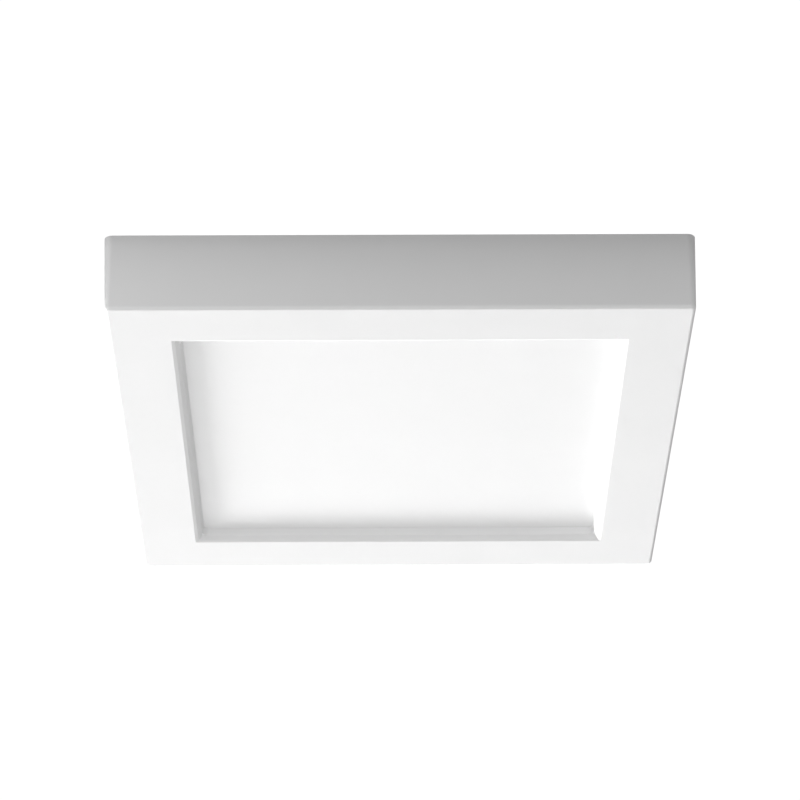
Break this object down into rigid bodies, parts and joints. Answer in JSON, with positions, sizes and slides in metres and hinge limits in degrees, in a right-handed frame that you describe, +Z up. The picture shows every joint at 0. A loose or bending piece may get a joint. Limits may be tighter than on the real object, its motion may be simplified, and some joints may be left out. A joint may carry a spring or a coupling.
{
  "type": "flush mount ceiling light",
  "caption": "Square slim flush mount ceiling light with a wide white trim, a recessed opal diffuser, a crossbar bracket and side set screws.",
  "frame": {"origin": "centre of the ceiling plane, on the upper face of the mounting bracket", "axes": "+Z up into the ceiling, +X along the crossbar, -Y towards the side wall that faces the viewer"},
  "size_m": [0.18, 0.18, 0.0254],
  "materials": {
    "white_casting": "white powder coat, satin, on die-cast aluminium",
    "opal_sheet": "satin opal acrylic",
    "clear_guide": "clear polished acrylic",
    "white_film": "matt white polyester film",
    "strip_board": "white solder mask on aluminium board",
    "led_chip": "yellow phosphor in a white frame",
    "link_ribbon": "white flexible circuit",
    "galvanised_plate": "galvanised sheet steel",
    "zinc_screw": "bright zinc plating",
    "black_screw": "black oxide",
    "bracket_steel": "zinc-plated sheet steel",
    "green_screw": "green dyed zinc",
    "case_plastic": "off-white moulded polycarbonate, fine grain",
    "case_base": "off-white moulded polycarbonate",
    "circuit_board": "green solder mask over fibreglass",
    "fuse_body": "ceramic, glazed",
    "film_capacitor": "yellow potted box",
    "ferrite": "dark ferrite, matt",
    "copper_winding": "yellow polyester tape over copper wire",
    "black_package": "black epoxy",
    "can_sleeve": "dark shrink sleeve on aluminium can",
    "mains_sheath": "black PVC sheath",
    "earth_sheath": "green PVC sheath",
    "low_voltage_sheath": "red PVC sheath",
    "tinned_brass": "tinned brass",
    "terminal_plastic": "grey-white polyamide",
    "button_plastic": "orange polyamide"
  },
  "bodies": {
    "bracket": {"mounting_bracket": "bracket_steel", "ground_screw": "green_screw", "ground_washer": "zinc_screw"},
    "fixture": {"housing": "white_casting", "diffuser": "opal_sheet", "light_guide": "clear_guide", "reflector_sheet": "white_film", "led_strips": "strip_board", "led_chips": "led_chip", "strip_links": "link_ribbon", "back_plate": "galvanised_plate", "back_plate_screws": "zinc_screw", "plate_studs": "zinc_screw", "stud_nuts": "zinc_screw", "driver_base": "case_base", "driver_cover": "case_plastic", "driver_board": "circuit_board", "fuse": "fuse_body", "mains_capacitor": "film_capacitor", "choke": "ferrite", "bridge_rectifier": "black_package", "bulk_capacitor": "can_sleeve", "transformer_core": "ferrite", "transformer_winding": "copper_winding", "control_chip": "black_package", "output_diode": "black_package", "output_capacitor": "can_sleeve", "mains_leads": "mains_sheath", "earth_lead": "earth_sheath", "led_lead": "low_voltage_sheath", "earth_tag": "tinned_brass", "terminal_block": "terminal_plastic", "terminal_contacts": "tinned_brass"},
    "left_screw": {"set_screw_left": "black_screw"},
    "right_screw": {"set_screw_right": "black_screw"},
    "button_1": {"release_button_1": "button_plastic"},
    "button_2": {"release_button_2": "button_plastic"},
    "button_3": {"release_button_3": "button_plastic"}
  },
  "joints": [
    {"name": "fixture_drop", "type": "slide", "parent": "bracket", "child": "fixture", "axis": [0, 0, -1], "range_m": [0, 0.06]},
    {"name": "set_screw_left_travel", "type": "slide", "parent": "fixture", "child": "left_screw", "axis": [-1, 0, 0], "range_m": [0, 0.0028]},
    {"name": "set_screw_right_travel", "type": "slide", "parent": "fixture", "child": "right_screw", "axis": [1, 0, 0], "range_m": [0, 0.0028]},
    {"name": "release_button_1_press", "type": "slide", "parent": "fixture", "child": "button_1", "axis": [0, 0, -1], "range_m": [0, 0.0012], "stiffness_N_per_m": 400},
    {"name": "release_button_2_press", "type": "slide", "parent": "fixture", "child": "button_2", "axis": [0, 0, -1], "range_m": [0, 0.0012], "stiffness_N_per_m": 400},
    {"name": "release_button_3_press", "type": "slide", "parent": "fixture", "child": "button_3", "axis": [0, 0, -1], "range_m": [0, 0.0012], "stiffness_N_per_m": 400}
  ]
}
